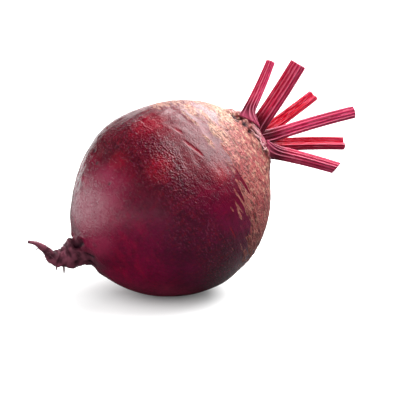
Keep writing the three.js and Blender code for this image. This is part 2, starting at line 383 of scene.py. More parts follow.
class BeetrootStage(bpy.types.PropertyGroup):
    """The table and the light."""

    table: colour_setting("Table", "Colour of the table", "#d0d0d0")
    table_shade: colour_setting(
        "Table shade", "Colour of the table as it lights the beetroot from below", "#343434")
    # Its fade round the beetroot's foot is a painted shadow.
    table_glow: FloatProperty(
        name="Table glow", description="How brightly the table is lit from inside",
        min=0, default=0.36)
    # A painted reflection: the far table glows for reflections alone.
    table_shine: FloatProperty(
        name="Table shine", description="Brightness of the far table as the skin mirrors it",
        min=0, default=3)
    side_light: FloatProperty(
        name="Side light", description="Brightness of the low soft box on the left",
        min=0, default=3.7)
    top_light: FloatProperty(
        name="Top light", description="Brightness of the soft box overhead", min=0, default=8.6)
    back_light: FloatProperty(
        name="Back light", description="Brightness of the lit wall behind", min=0, default=1.15)
    front_light: FloatProperty(
        name="Front light", description="Brightness of the glare-free light in front",
        min=0, default=1.9)
    table_fill: FloatProperty(
        name="Table fill", description="Brightness of the light that only the table gets",
        min=0, default=3)
    room_light: FloatProperty(
        name="Room light", description="Brightness of the room", min=0, default=0.05)


# ---- Plain shape helpers ----


def laid_down(points):
    """Points of the plant's frame in millimetres, laid on the table, in metres."""
    return (BULB_CENTRE + points @ PLANT_AXES) * MM


def blended(a, b, sharpness):
    """Two radii joined smoothly: the larger wins, with a hollow fillet where they meet."""
    return (a**sharpness + b**sharpness) ** (1 / sharpness)


def rise(low, high, value):
    """0 at low, 1 at high and a smooth step between."""
    t = np.clip((value - low) / (high - low), 0, 1)
    return t * t * (3 - 2 * t)


def scrambled(cells, seed):
    """A fixed number from 0 to 1 for each whole-numbered cell: its three coordinates are
    multiplied by large odd numbers, added, and mixed by shifting and multiplying."""
    mixed = cells @ np.array([374761393, 668265263, 1103515245]) + seed * 974634777
    mixed &= 0xFFFFFFFF
    mixed = ((mixed ^ (mixed >> 13)) * 1274126177) & 0xFFFFFFFF
    return (mixed ^ (mixed >> 16)) / 0xFFFFFFFF


def noise(points, size, seed):
    """Smooth noise from -1 to 1: random numbers at the corners of cubes of that size, blended
    across each cube by the smooth step. Each pattern has a seed of its own."""
    place = points / size
    cell = np.floor(place).astype(np.int64)
    t = place - cell
    t = t * t * (3 - 2 * t)
    total = np.zeros(points.shape[:-1])
    for corner in product((0, 1), repeat=3):
        share = np.where(corner, t, 1 - t).prod(-1)
        total += share * scrambled(cell + corner, seed)
    return 2 * total - 1


def nearest(points, size, seed):
    """Distance to the nearest of a set of scattered points, one in each cube of that size, as a
    share of the size, and a number from 0 to 1 that belongs to that point."""
    place = points / size
    cell = np.floor(place).astype(np.int64)
    best = np.full(points.shape[:-1], np.inf)
    mark = np.zeros(points.shape[:-1])
    for step in product((-1, 0, 1), repeat=3):
        other = cell + step
        spot = other + np.stack([scrambled(other, seed + axis) for axis in range(3)], -1)
        distance = np.linalg.norm(place - spot, axis=-1)
        closer = distance < best
        best = np.where(closer, distance, best)
        mark = np.where(closer, scrambled(other, seed + 3), mark)
    return best, mark


def bezier(controls, share):
    """Places and unit tangents on a Bezier curve at the given shares, by straight blends
    between neighbouring control points until one segment is left."""
    layer = np.array(controls, float)[:, None, :]
    t = np.asarray(share, float)[:, None]
    while len(layer) > 2:
        layer = layer[:-1] * (1 - t) + layer[1:] * t
    tangent = layer[1] - layer[0]
    place = layer[0] * (1 - t) + layer[1] * t
    return place, tangent / np.linalg.norm(tangent, axis=-1, keepdims=True)


def square_to(along, wish):
    """Unit directions square to a path, as near as they can be to the wished one."""
    side = wish - (along @ wish)[:, None] * along
    return side / np.linalg.norm(side, axis=-1, keepdims=True)


def turned(points, degrees):
    """Points turned about z."""
    angle = math.radians(degrees)
    c, s = math.cos(angle), math.sin(angle)
    return points @ np.array([[c, s, 0], [-s, c, 0], [0, 0, 1]])


def ring_angles(sides):
    """Angles of the points of a ring, evenly spaced from 0."""
    return 2 * np.pi * np.arange(sides) / sides


def outward(grid):
    """Unit normals of a grid of rings: the way round a ring crossed with the way along."""
    along = np.gradient(grid, axis=0)
    around = np.roll(grid, -1, axis=1) - np.roll(grid, 1, axis=1)
    normal = np.cross(around, along)
    return normal / np.linalg.norm(normal, axis=-1, keepdims=True)


def closed_skin(grid, first=0):
    """Vertices and faces of a closed skin over a grid of rings: the first ring's middle, the
    rings in order and the last ring's middle. Rings run anticlockwise seen from the last one,
    and vertices are numbered from first."""
    rows, sides = grid.shape[:2]
    side = np.arange(sides)
    after = (side + 1) % sides
    start = 1 + np.arange(rows - 1)[:, None] * sides
    quads = np.stack([start + side, start + after, start + sides + after, start + sides + side], -1)
    top = np.stack([np.zeros(sides, int), 1 + after, 1 + side], -1)
    last = 1 + (rows - 1) * sides
    end = np.stack([np.full(sides, last + sides), last + side, last + after], -1)
    faces = [part + first for part in (quads.reshape(-1, 4), top, end)]
    return with_middles(grid), [face for part in faces for face in part.tolist()]


def with_middles(grid):
    """A grid's values as one row for each vertex, with the end rings' means at both ends."""
    values = grid.reshape(-1, *grid.shape[2:])
    return np.concatenate([grid[:1].mean(1), values, grid[-1:].mean(1)])


def new_piece(name, vertices, faces, material, fields):
    """A smooth-shaded mesh object at the origin, riding on the root body. fields are numbers
    or vectors for each vertex, which its material reads."""
    mesh = bpy.data.meshes.new(name)
    mesh.from_pydata(laid_down(vertices).tolist(), [], faces)
    for field, values in fields.items():
        kind, key = ("FLOAT", "value") if values.ndim == 1 else ("FLOAT_VECTOR", "vector")
        attribute = mesh.attributes.new(field, kind, "POINT")
        attribute.data.foreach_set(key, values.astype(np.float32).ravel())
    mesh.shade_smooth()
    mesh.materials.append(material)
    piece = bpy.data.objects.new(name, mesh)
    bpy.context.scene.collection.objects.link(piece)
    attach(piece, "root")
    return piece


# ---- Materials ----

# Sockets of a Mix node, by number: its factor, the two numbers or the two colours that it mixes,
# and the mixed colour.
FACTOR, LOW, HIGH, UNDER, OVER, MIXED_COLOUR = 0, 2, 3, 6, 7, 2
VECTOR_FIELDS = ("grown", "strip")


def add(tree, kind, inputs, **settings):
    """Adds a node. inputs maps a socket's name or number to a value or to another node's
    output, and settings are the node's own properties."""
    node = tree.nodes.new(kind)
    for name, value in settings.items():
        setattr(node, name, value)
    for key, value in inputs.items():
        if isinstance(value, bpy.types.NodeSocket):
            tree.links.new(value, node.inputs[key])
        else:
            node.inputs[key].default_value = value
    return node


def new_material(name, fields):
    """A node material, its tree, its shader, and by name the fields that its mesh gives it."""
    material = bpy.data.materials.new(name)
    material.use_nodes = True
    tree = material.node_tree
    share = {}
    for field in fields:
        node = add(tree, "ShaderNodeAttribute", {}, attribute_name=field)
        share[field] = node.outputs["Vector" if field in VECTOR_FIELDS else "Fac"]
    return material, tree, tree.nodes["Principled BSDF"], share


def add_shares(tree, share, patterns, steps):
    """Adds shares from 0 to 1 by name. A pattern is noise, given by what it is drawn on, its
    grain in millimetres, its detail, and the two levels of the noise that become 0 and 1. A
    step is given by a value and the two levels of it."""
    for name, (where, grain, detail, low, high) in patterns.items():
        place = {"Vector": share[where], "Scale": 1 / grain, "Detail": detail}
        texture = add(tree, "ShaderNodeTexNoise", place)
        steps[name] = (texture.outputs["Fac"], low, high)
    for name, (value, low, high) in steps.items():
        levels = {"Value": value, "From Min": low, "From Max": high}
        step = add(tree, "ShaderNodeMapRange", levels, interpolation_type="SMOOTHSTEP")
        share[name] = step.outputs["Result"]


def painted(tree, share, colour, layers):
    """A colour with layers of paint over it. Each layer has the name of the share that it
    covers, its strength, which is a number or the name of another share, and a colour."""
    for cover, strength, over in layers:
        factors = {0: share[cover], 1: share.get(strength, strength)}
        amount = add(tree, "ShaderNodeMath", factors, operation="MULTIPLY")
        inputs = {FACTOR: amount.outputs[0], UNDER: colour, OVER: (*over, 1)}
        colour = add(tree, "ShaderNodeMix", inputs, data_type="RGBA").outputs[MIXED_COLOUR]
    return colour


# ---- The root: bulb, crown and tap root ----


def bulb_radius(z):
    """Above the middle, a round shoulder joined to a squarish crown, whose share fades in from
    the middle up. Below it, a belly that tucks in and joins the neck."""
    shoulder = BULB_RADIUS * np.sqrt(np.clip(1 - (z / SHOULDER_REACH) ** 2, 0, None))
    crown = CROWN_RADIUS * np.sqrt(np.clip(1 - (z / CROWN_REACH) ** CROWN_SQUARENESS, 0, None))
    crown = crown * rise(0, CROWN_FADE, z)
    down = np.clip(-z / BELLY_REACH, 0, 1)
    belly = BULB_RADIUS * np.sqrt(1 - down**2) * (1 - BELLY_TUCK * down**BELLY_TUCK_START)
    neck = (NECK_RADIUS + NECK_SPREAD * (z + NECK_DROP)) * down**NECK_BLEND
    return np.where(z > 0, blended(shoulder, crown, SHOULDER_BLEND), blended(belly, neck, NECK_BLEND))


def bulb_axis(z):
    """The axis swings to the upper side at both ends."""
    up = CROWN_OFFSET * (np.clip(z, 0, None) / CROWN_REACH) ** 2
    down = NECK_OFFSET * (np.clip(-z, 0, None) / NECK_DROP) ** NECK_OFFSET_START
    return np.stack(np.broadcast_arrays(up + down, 0 * z, z), -1)


def bulb_relief(angle, z):
    """Broad lumps, and rows of corky bumps where earlier leaves grew."""
    plump = bulb_radius(z) / BULB_RADIUS
    out = 0
    for lump in LUMPS:
        wave = np.cos(lump["around"] * angle + lump["turn"] + z / lump["pitch"])
        out = out + lump["height"] * plump * wave
    offset = z - LEAF_SCARS["middle"]
    near = np.clip(1 - (offset / LEAF_SCARS["reach"]) ** 2, 0, None)
    round_it = np.cos(LEAF_SCARS["around"] * angle + LEAF_SCARS["turn"])
    return out + LEAF_SCARS["height"] * near * round_it * np.cos(np.pi * offset / LEAF_SCARS["row"])


def bulb_point(angle, z, above):
    """A point above the bulb's skin, in degrees round it and at a height on its axis."""
    turn = math.radians(angle)
    z = np.array(float(z))
    radius = bulb_radius(z) + bulb_relief(turn, z) + above
    return bulb_axis(z) + radius * np.array([math.cos(turn), math.sin(turn), 0])


def bulb_heights(count):
    """Heights of rings evenly spaced along the skin from the crown's middle to the neck."""
    turn = np.linspace(0, np.pi, CURVE_STEPS)
    z = np.where(turn < np.pi / 2, CROWN_REACH, NECK_DROP) * np.cos(turn)
    steps = np.hypot(np.diff(bulb_radius(z)), np.diff(z))
    length = np.concatenate([[0], np.cumsum(steps)])
    return np.interp(np.linspace(0, length[-1], count + 1)[1:], length, z)


def tap_radius(t):
    """The tap root thins quickly at first, and ends in a blunt tip."""
    return TIP_RADIUS + (NECK_RADIUS - TIP_RADIUS) * (1 - t) ** TAP_TAPER


def tap_points(t, angle, radius):
    """Points round the tap root at shares t of its curve, at angles from its upper side."""
    place, along = bezier(TAP_ROOT, t)
    side = square_to(along, np.array([0, 1, 0]))
    up = np.cross(along, side)
    cos, sin = (radius * np.cos(angle))[..., None], (radius * np.sin(angle))[..., None]
    return place[:, None] + cos * up[:, None] + sin * side[:, None]


def tap_length():
    """Length of the tap root's curve."""
    place, _ = bezier(TAP_ROOT, np.linspace(0, 1, CURVE_STEPS))
    return np.linalg.norm(np.diff(place, axis=0), axis=-1).sum()


def plain_root():
    """The root before its fine relief: rings round the bulb's axis, bulb_radius and bulb_relief
    away from it, then rings round the tap root's curve with wrinkles that run round it. Also
    gives where each point grew: the same rings round a straight axis."""
    angle = -ring_angles(ROOT_SIDES)
    z = bulb_heights(BULB_ROWS)[:, None]
    radius = bulb_radius(z) + bulb_relief(angle, z)
    rings = [radius * np.cos(angle), radius * np.sin(angle), z + 0 * radius]
    bulb = np.stack([rings[0], rings[1], 0 * radius], -1) + bulb_axis(z)
    t = np.arange(1, TAP_ROWS + 1) / TAP_ROWS
    drop = t[:, None] * tap_length()
    wave = np.cos(drop / WRINKLE["pitch"] + np.cos(WRINKLE["around"] * angle))
    fade = np.minimum(1, t / WRINKLE["start"])[:, None]
    tapered = tap_radius(t)[:, None] * (1 + WRINKLE["height"] * wave * fade)
    tap = tap_points(t, angle[None, :], tapered)
    straight = [tapered * np.cos(angle), tapered * np.sin(angle), -NECK_DROP - drop + 0 * tapered]
    grown = np.concatenate([np.stack(rings, -1), np.stack(straight, -1)])
    return np.concatenate([bulb, tap]), grown


def away_from(grown, spot):
    """Distance over the skin, unrolled round the axis, to a spot, as a share of its size."""
    radius = np.hypot(grown[..., 0], grown[..., 1])
    angle = np.arctan2(grown[..., 1], grown[..., 0])
    turn = (angle - math.radians(spot["angle"]) + np.pi) % (2 * np.pi) - np.pi
    return np.hypot(turn * radius, grown[..., 2] - spot["height"]) / spot["size"]


def patches(grown, spots):
    """1 at the middle of the spots, fading to 0 at their size."""
    return np.max([1 - rise(0.2, 1, away_from(grown, spot)) for spot in spots], axis=0)


def scratch_places(count):
    """The large scratches, and small ones at places drawn for all sides of the bulb."""
    draw = np.random.default_rng(SCRATCH_SEED)
    places = list(SCRATCHES)
    for _ in range(count):
        drawn = {name: draw.uniform(*ends) for name, ends in SMALL_SCRATCH.items()}
        angle, height = drawn["angle"], drawn["height"]
        places.append({
            "angles": (angle, angle + drawn["reach"]),
            "heights": (height, height + drawn["tilt"]),
            "width": drawn["width"],
        })
    return places


def scratched(grown, count):
    """1 along the middle of each scratch and 0 off it, by the distance to its line on the skin
    unrolled round the axis."""
    radius = np.hypot(grown[..., 0], grown[..., 1])
    angle = np.degrees(np.arctan2(grown[..., 1], grown[..., 0])) % 360
    total = np.zeros(angle.shape)
    for scratch in scratch_places(count):
        (a, b), (low, high) = scratch["angles"], scratch["heights"]
        turn = (angle - a + 180) % 360 - 180
        share = np.clip(turn / (b - a), 0, 1)
        sideways = np.radians(turn - share * (b - a)) * radius
        upwards = grown[..., 2] - low - share * (high - low)
        width = scratch["width"] * (0.55 + 0.9 * np.sqrt(share * (1 - share)))
        total = np.maximum(total, 1 - rise(0.3, 1, np.hypot(sideways, upwards) / width))
    return total


def pitted(grown):
    """Depth of all the pits, ragged hollows with a low rim, and the share of each that is painted dark as
    shade.
    """
    depth, dark = 0, 0
    ragged = 1 + 0.35 * noise(grown, 1.4, 35)
    for pit in ROOT_PITS + RIM_PITS:
        away = away_from(grown, pit) * ragged
        hollow = np.exp(-1.6 * away**2)
        rim = 0.15 * np.exp(-9 * (away - 1.3) ** 2)
        depth = depth + pit["depth"] * (hollow - rim)
        dark = np.maximum(dark, 1 - rise(0.35, 1.05, away))
    return depth, dark


def rim_crack(grown):
    """1 along the ragged crack between the corky shoulder and the leaf bases, 0 off it. It gapes
    all along the near side and here and there elsewhere."""
    angle = np.degrees(np.arctan2(grown[..., 1], grown[..., 0])) % 360
    near = rise(*RIM_CRACK["opens"], angle) * (1 - rise(*RIM_CRACK["closes"], angle))
    gaping = np.maximum(near, rise(0, 0.5, noise(grown, 9, 30)))
    middle = RIM_CRACK["height"] + RIM_CRACK["waver"] * noise(grown, 2.2, 31)
    return gaping * np.exp(-(((grown[..., 2] - middle) / RIM_CRACK["width"]) ** 2))


def streaky(grown):
    """Points squeezed in across the plant's axis, so that noise drawn on them makes streaks that
    run round the plant and swerve a little."""
    swerve = 1.6 * noise(grown, 9, 17)
    return np.stack([grown[..., 0] / 5, grown[..., 1] / 5, grown[..., 2] + swerve], -1)


def skin_regions(grown, around, scratches):
    """Where each kind of skin is, from 0 to 1. Cork covers the crown and part of the shoulder
    with an edge ragged round the plant, the middle is pebbled, the rest is smooth, and the tap
    root is folded."""
    angle = np.arctan2(grown[..., 1], grown[..., 0])
    z = grown[..., 2]
    broad = noise(grown, 15, 1)
    tilt = CORK_EDGE["tilt"] * np.cos(angle + CORK_EDGE["turn"])
    cork_edge = CORK_EDGE["height"] + tilt + 3.5 * broad + 3 * noise(grown, 6, 16)
    ragged = 6 * noise(around, 2.4, 2) + 5 * noise(around, 1.2, 3)
    cork = np.maximum(rise(-4, 4, z - cork_edge + ragged), 0.55 * patches(grown, SCURF))
    tap = rise(-2.5, 2.5, TAP_START - z + 2.5 * noise(grown, 4, 4))
    bloom_and_sheen = patches(grown, BLOOMS) * (1 + 0.6 * noise(grown, 5, 18))
    return {
        "cork": cork,
        "collar": rise(-0.5, 0.5, z - COLLAR_START - 0.5 * noise(grown, 3, 32)),
        "heart": rise(-0.6, 0.6, z - HEART_START + 0.4 * noise(grown, 2.5, 33)),
        "tap": tap,
        "pebbled": rise(-19, -6, z + 7 * broad) * (1 - rise(2, 10, z - 4 * broad)) * (1 - cork),
        "blush": patches(grown, BLUSHES) * (1 - cork),
        "bloom_and_sheen": np.clip(bloom_and_sheen, 0, 1) * (1 - tap),
        "scratch": scratched(grown, scratches) * (1 - tap),
    }


def bare_relief(grown, around, region, skin):
    """How far the bare skin stands out in millimetres: rounded pebbles, some of them sunk in,
    wrinkles along the bulb, streaks round it, low swells, and a knobbly heart of the crown."""
    angle = np.arctan2(grown[..., 1], grown[..., 0])
    z = grown[..., 2]
    distance, mark = nearest(grown, 1.9, 10)
    pebbles = (0.5 - distance) * np.where(mark > 0.35, 1, -0.7)
    relief = skin.pebble_height / MM * region["pebbled"] * pebbles
    creased = rise(-0.5, 0.2, noise(grown, 12, 6)) * rise(0.5, -0.6, np.cos(angle - SMOOTH_SIDE))
    wrinkles = noise(grown * (1, 1, 0.22), 1.8, 5) * (0.2 + 1.7 * creased) * rise(-44, -30, z)
    streaks = noise(around, 1.6, 7) * rise(-10, 8, z)
    plain = (1 - region["tap"]) * (1 - 0.85 * region["bloom_and_sheen"])
    relief += skin.wrinkle_height / MM * (wrinkles + streaks) * plain
    return relief + 0.2 * noise(grown, 8, 8) + 0.5 * region["heart"] * noise(grown, 1.6, 34)


def cork_scales(grown, around):
    """How thick the cork is, as a share of its height: a net of ridges, and flakes that run
    round the plant."""
    ridges = 1 - 2 * np.abs(noise(grown * (0.5, 0.5, 1), 1.8, 9))
    flakes = 1 - 2 * np.abs(noise(around, 1.5, 14))
    return 0.45 + 0.4 * ridges + 0.4 * flakes


def tap_folds(grown):
    """The tap root's folds: rings round it, knots and fine creases."""
    rings = noise(grown * (0.5, 0.5, 1.7), 2, 12)
    knots = noise(grown * (1, 1, 1.3), 2.5, 13)
    creases = noise(grown * (1, 1, 1.6), 1.2, 19)
    return 0.8 * rings + 0.8 * knots + 0.35 * creases


def root_relief(grown, skin):
    """How far all the fine relief stands out in millimetres, and the shares from 0 to 1 that
    the skin's material reads."""
    around = streaky(grown)
    region = skin_regions(grown, around, skin.scratches)
    relief = bare_relief(grown, around, region, skin)

    scaly = cork_scales(grown, around)
    relief += skin.cork_height / MM * region["cork"] * scaly * (1 - 0.6 * region["collar"])
    thick = np.clip(np.hypot(grown[..., 0], grown[..., 1]) / NECK_RADIUS, 0.12, 1.2)
    folded = rise(-41, -46, grown[..., 2])
    folds = tap_folds(grown)
    relief += skin.fold_height / MM * folded * thick * folds

    pit_depth, pit = pitted(grown)
    crack = rim_crack(grown)
    relief -= 0.3 * region["scratch"] + pit_depth + RIM_CRACK["depth"] * crack
    raised = rise(-0.2, 0.9, scaly) * region["cork"] + rise(-0.9, 0.6, folds) * folded
    return relief, {**region, "pit": np.maximum(pit, crack), "raised": raised}


def settled(points):
    """Points in the plant's frame with none below the table: the part that would sink in is
    pressed flat, with a soft bend at the edge of the flat."""
    level = (BULB_CENTRE + points @ PLANT_AXES)[..., 2]
    lifted = 0.5 * (level + np.sqrt(level**2 + FLAT_EDGE**2))
    raise_by = np.where(level < FLAT_REACH, lifted - level, 0)
    return points + raise_by[..., None] * PLANT_AXES[:, 2]


def skin_shares(tree, share):
    """Adds the skin's patterns, its regions and their products."""
    grown = share["grown"]
    squeezed = {"around": (0.2, 0.2, 1), "scaly": (0.5, 0.5, 1), "lengthwise": (1, 1, 0.2)}
    for name, scale in squeezed.items():
        share[name] = add(tree, "ShaderNodeMapping", {"Vector": grown, "Scale": scale}).outputs[0]
    patterns = {
        "cloud": ("grown", 14, 3, 0.4, 0.65),
        "blotch": ("grown", 6, 4, 0.5, 0.68),
        "mottle": ("grown", 1.6, 4, 0.42, 0.62),
        "speck": ("grown", 0.7, 2, 0.6, 0.7),
        "spot": ("scaly", 0.7, 3, 0.57, 0.66),
        "fleck": ("scaly", 0.8, 4, 0.52, 0.66),
        "streak": ("around", 1.5, 4, 0.5, 0.66),
        "thread": ("lengthwise", 1.1, 4, 0.52, 0.68),
        "grain": ("grown", 0.5, 3, 0.4, 0.6),
        "net": ("scaly", 0.6, 5, 0.485, 0.63),
        "chip": ("scaly", 1.1, 7, 0.47, 0.65),
        "dash": ("around", 1.0, 8, 0.525, 0.61),
        "flake": ("scaly", 1.1, 5, 0.46, 0.56),
        "patch": ("scaly", 4.5, 5, 0.46, 0.62),
    }

    # The cork's edge is torn into flakes finer than the mesh.
    torn = add(tree, "ShaderNodeTexNoise", {"Vector": share["around"], "Scale": 1 / 1.3, "Detail": 6})
    ragged = {0: torn.outputs["Fac"], 1: 1.6, 2: share["cork"]}
    edge = add(tree, "ShaderNodeMath", ragged, operation="MULTIPLY_ADD").outputs[0]
    place = add(tree, "ShaderNodeTexCoord", {}).outputs["Object"]
    height = add(tree, "ShaderNodeSeparateXYZ", {"Vector": place}).outputs["Z"]
    plant = add(tree, "ShaderNodeSeparateXYZ", {"Vector": grown}).outputs
    add_shares(tree, share, patterns, {
        "cork": (edge, 1.12, 1.48),
        "low_side": (height, 0.07, 0.03),
        # Painted shade: the skin darkens as it nears the table.
        "contact_shade": (height, 0.018, 0.0),
        "root_end": (plant["Z"], -14.0, -32.0),
        "near_rim": (plant["Z"], 29.0, 39.0),
        "turned_down": (plant["X"], 28.0, 8.0),
    })

    hollow = add(tree, "ShaderNodeMath", {0: 1.0, 1: share["raised"]}, operation="SUBTRACT")
    share["hollow"] = hollow.outputs[0]
    cells = add(tree, "ShaderNodeTexVoronoi", {"Vector": grown, "Scale": 1 / 0.95})
    share["cells"] = cells.outputs["Distance"]
    products = {
        "rim_patch": ("near_rim", "patch"),
        "rim_chip": ("near_rim", "chip"),
        "low_cork": ("cork", "turned_down"),
        # Painted shade in the hollows of the tap root's folds.
        "tap_fold_shade": ("hollow", "tap"),
        "cork_hollow": ("hollow", "cork"),
        "cork_patch": ("cork", "patch"),
        "cork_net": ("net", "cork"),
        "cork_part": ("cork", 0.6),
        "pebbled_part": ("pebbled", 0.4),
        "pebbled_cells": ("cells", "pebbled"),
    }
    for name, (one, other) in products.items():
        factors = {0: share[one], 1: share.get(other, other)}
        share[name] = add(tree, "ShaderNodeMath", factors, operation="MULTIPLY").outputs[0]


def skin_layers(skin):
    """The skin's colours, each laid over those before it: the bare skin, the cork, the crown's rim and
    heart, the tap root, and the marks. Some layers are painted light: shade at the table, in the tap
    root's folds, in the pits and the crack and in the crown's heart, a sheen in the mauve bloom, and
    glints in the pale flecks."""
    return [
        ("low_side", 1.0, skin.purple),
        # Painted shade where the bulb meets the table.
        ("contact_shade", 0.5, skin.dark),
        ("root_end", 0.5, skin.ruby),
        ("patch", "root_end", skin.ruby),
        ("pebbled", 0.35, skin.dark),
        ("cloud", 0.3, skin.dark),
        ("blush", 0.85, skin.crimson),
        ("fleck", "blush", skin.crimson),
        ("fleck", "pebbled_part", skin.crimson),
        ("blotch", 0.25, skin.dark),
        ("mottle", 0.2, skin.dark),
        ("streak", "pebbled_part", skin.dark),
        # Partly painted glints: pale flecks on the pebbling stand for its tiny highlights.
        ("spot", "pebbled_part", skin.fleck),
        ("thread", 0.22, skin.crimson),
        # Partly painted sheen: the mauve bloom lightens the belly where it mirrors the soft boxes.
        ("bloom_and_sheen", 0.9, skin.mauve),
        ("speck", 0.3, skin.dark),
        ("cork", 0.97, skin.cork),
        ("rim_patch", "cork", skin.cork_tan),
        ("low_cork", 0.85, skin.cork_red),
        ("streak", "cork_part", skin.cork_red),
        ("flake", "cork_hollow", skin.crimson),
        ("cork_patch", 0.22, skin.cork_pale),
        ("chip", "cork_part", skin.cork_pale),
        ("low_cork", 0.45, skin.cork_red),
        ("dash", "cork_part", skin.cork_brown),
        ("net", "cork_part", skin.cork_brown),
        ("rim_chip", 0.45, skin.cork_pale),
        ("collar", 0.9, skin.collar),
        ("dash", "collar", skin.cork_pale),
        # Painted shade: the crown's heart between the stalks' feet is painted darker, crimson with dark
        # mottling.
        ("heart", 0.85, skin.crimson),
        ("mottle", "heart", skin.dark),
        ("tap", 0.95, skin.tap),
        # Painted shade in the hollows of the tap root's folds.
        ("tap_fold_shade", 0.82, skin.dark),
        ("scratch", 0.95, skin.crimson),
        # Painted shade: the pits and the rim crack are painted dark.
        ("pit", 1.0, skin.dark),
    ]


def skin_material(skin):
    """Raw beetroot skin, rubbed clean: a thin cork over deep red flesh. It gives the eye a
    satin maroon that turns purple below, scurfy tan at the shoulder and brown at the tap root."""
    fields = (
        "grown", "cork", "collar", "tap", "pebbled", "blush", "bloom_and_sheen", "heart", "scratch", "pit", "raised")
    material, tree, shader, share = new_material("beetroot_skin", fields)
    skin_shares(tree, share)
    colour = painted(tree, share, (*skin.red, 1), skin_layers(skin))

    dull = add(tree, "ShaderNodeMath", {0: share["tap"], 1: share["pit"]}, operation="MAXIMUM")
    rough = 0.22
    for factor, value in [(share["cork"], 0.5), (share["bloom_and_sheen"], 0.27), (dull.outputs[0], 0.55)]:
        rough = add(tree, "ShaderNodeMix", {FACTOR: factor, LOW: rough, HIGH: value}).outputs[0]

    normal = None
    bumps = {"pebbled_cells": 0.24, "cork_net": -0.28, "grain": 0.03, "fleck": -0.05}
    for name, millimetres in bumps.items():
        inputs = {"Height": share[name], "Distance": millimetres * MM}
        if normal:
            inputs["Normal"] = normal
        normal = add(tree, "ShaderNodeBump", inputs).outputs[0]

    tree.links.new(colour, shader.inputs["Base Color"])
    tree.links.new(rough, shader.inputs["Roughness"])
    tree.links.new(normal, shader.inputs["Normal"])
    shader.inputs["IOR"].default_value = 1.42
    return material


class BEETROOT_OT_root(bpy.types.Operator):
    """Grow the bulb, crown and tap root as one fine skin"""

    bl_idname = "beetroot.root"
    bl_label = "Grow the root"

    def execute(self, context):
        skin = context.scene.beetroot_skin
        plain, grown = plain_root()
        relief, fields = root_relief(grown, skin)
        grid = settled(plain + relief[..., None] * outward(plain))
        vertices, faces = closed_skin(grid)
        values = {name: with_middles(field) for name, field in fields.items()}
        values["grown"] = with_middles(grown)
        piece = new_piece("root_skin", vertices, faces, skin_material(skin), values)
        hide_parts("root")
        return {"FINISHED"}


# ---- The leaf stalks ----


def stalk_line(stalk):
    """Control points of a stalk's middle line in its own frame: z = 0 is the crown's top, and x
    leads outward. The line leans from z towards x, then veers round z."""
    def leaning(degrees):
        lean = math.radians(degrees)
        return turned(np.array([math.sin(lean), 0, math.cos(lean)]), stalk["veer"])

    foot = np.array([stalk["out"], 0, -STALK_SINK])
    knee = foot + leaning(stalk["lean"] - STALK_CURVE) * stalk["length"] * STALK_KNEE
    return [foot, knee, foot + leaning(stalk["lean"]) * stalk["length"]]


def stalk_grid(stalk, rib_height):
    """A stalk's surface. Its section is an oval with rounded ribs all round, a little uneven in
    spacing and height, and a channel on the inner side. Near the foot it is wider, flatter and
    curled round the crown. The last rings close the cut face, which is a little hollow. Also
    gives, for each point, the share of the way along, the ribs' crests, the sheath's share, the
    rind's share and a strip of even width that a pattern can follow."""
    rows = np.concatenate([np.linspace(0, 1, STALK_ROWS) ** 1.15, np.ones(len(CUT_RINGS))])
    t = rows[:, None]
    shrink = np.concatenate([np.ones(STALK_ROWS), CUT_RINGS])[:, None]
    angle = ring_angles(STALK_SIDES)
    sheath = np.clip(1 - t / SHEATH_LENGTH, 0, None) ** 2
    taper = 1 + (stalk["tip"] - 1) * t
    smaller, larger = [stalk["width"] / 2 * (taper + clasp * sheath) for clasp in stalk["clasp"]]
    half_width = np.where(np.sin(angle) > 0, larger, smaller)
    half_depth = stalk["depth"] / 2 * taper
    channel = CHANNEL_DEPTH * (1 - sheath) * np.minimum(1, t / CHANNEL_START)
    curl = np.maximum(sheath, LEAST_SHEATH) / stalk["out"]
    slant = t**4 * math.tan(math.radians(stalk["cut"]))

    seed = int(stalk["angle"])
    oval = [3 * np.cos(angle), 3 * np.sin(angle), 3 * t]
    strip = np.stack(np.broadcast_arrays(*oval), -1)
    spacing = 0.5 * noise(strip * (1, 1, 0.3), 1.9, seed)
    crest = (0.5 + 0.5 * np.cos(STALK_RIBS * angle + spacing)) ** 1.6
    strength = np.clip(0.8 + 0.8 * noise(strip * (1, 1, 0.4), 1.1, seed + 1), 0.15, 1.3)
    rib = rib_height * (crest * strength - 0.35)
    inward = np.clip(-np.cos(angle), 0, None)
    across = (half_width + rib) * np.sin(angle) * shrink
    thick = (half_depth + rib) * (np.cos(angle) + channel * inward**CHANNEL_NARROWNESS) * shrink
    turn = curl * across
    middle, along = bezier(stalk_line(stalk), rows)
    side = square_to(along, np.array([0, 1, 0]))
    outer = np.cross(side, along)
    hollow = 0.5 * (1 - shrink**2)
    grid = (
        middle[:, None]
        + side[:, None] * (np.sin(turn) * (1 / curl + thick))[..., None]
        + outer[:, None] * (np.cos(turn) * thick)[..., None]
        + np.array([1, 0, 0]) * ((np.cos(turn) - 1) / curl)[..., None]
        + along[:, None] * (slant * thick - hollow)[..., None]
    )
    placed = turned(grid, stalk["angle"]) + bulb_axis(np.array(float(CROWN_REACH)))
    clasping = min(1, sum(stalk["clasp"])) * rise(-0.3, 0.4, np.cos(angle))
    facing = angle + math.radians(stalk["angle"])
    fields = {
        "along": t + 0 * across,
        "crest": crest * np.clip(strength, 0, 1),
        "sheath": sheath * clasping,
        "rind": np.where(shrink < 0.95, 0, 1) + 0 * across,
        # Partly painted light: pinker, and so lighter, on the side away from x, the side that faces up as
        # the beetroot lies.
        "pinkness_and_painted_light": np.clip(stalk["pink"] - 0.35 * np.cos(facing), 0, 1) + 0 * across,
        "strip": strip * np.stack([shrink, shrink, np.ones_like(shrink)], -1) + (0, 0, 20 * seed),
    }
    return placed, fields


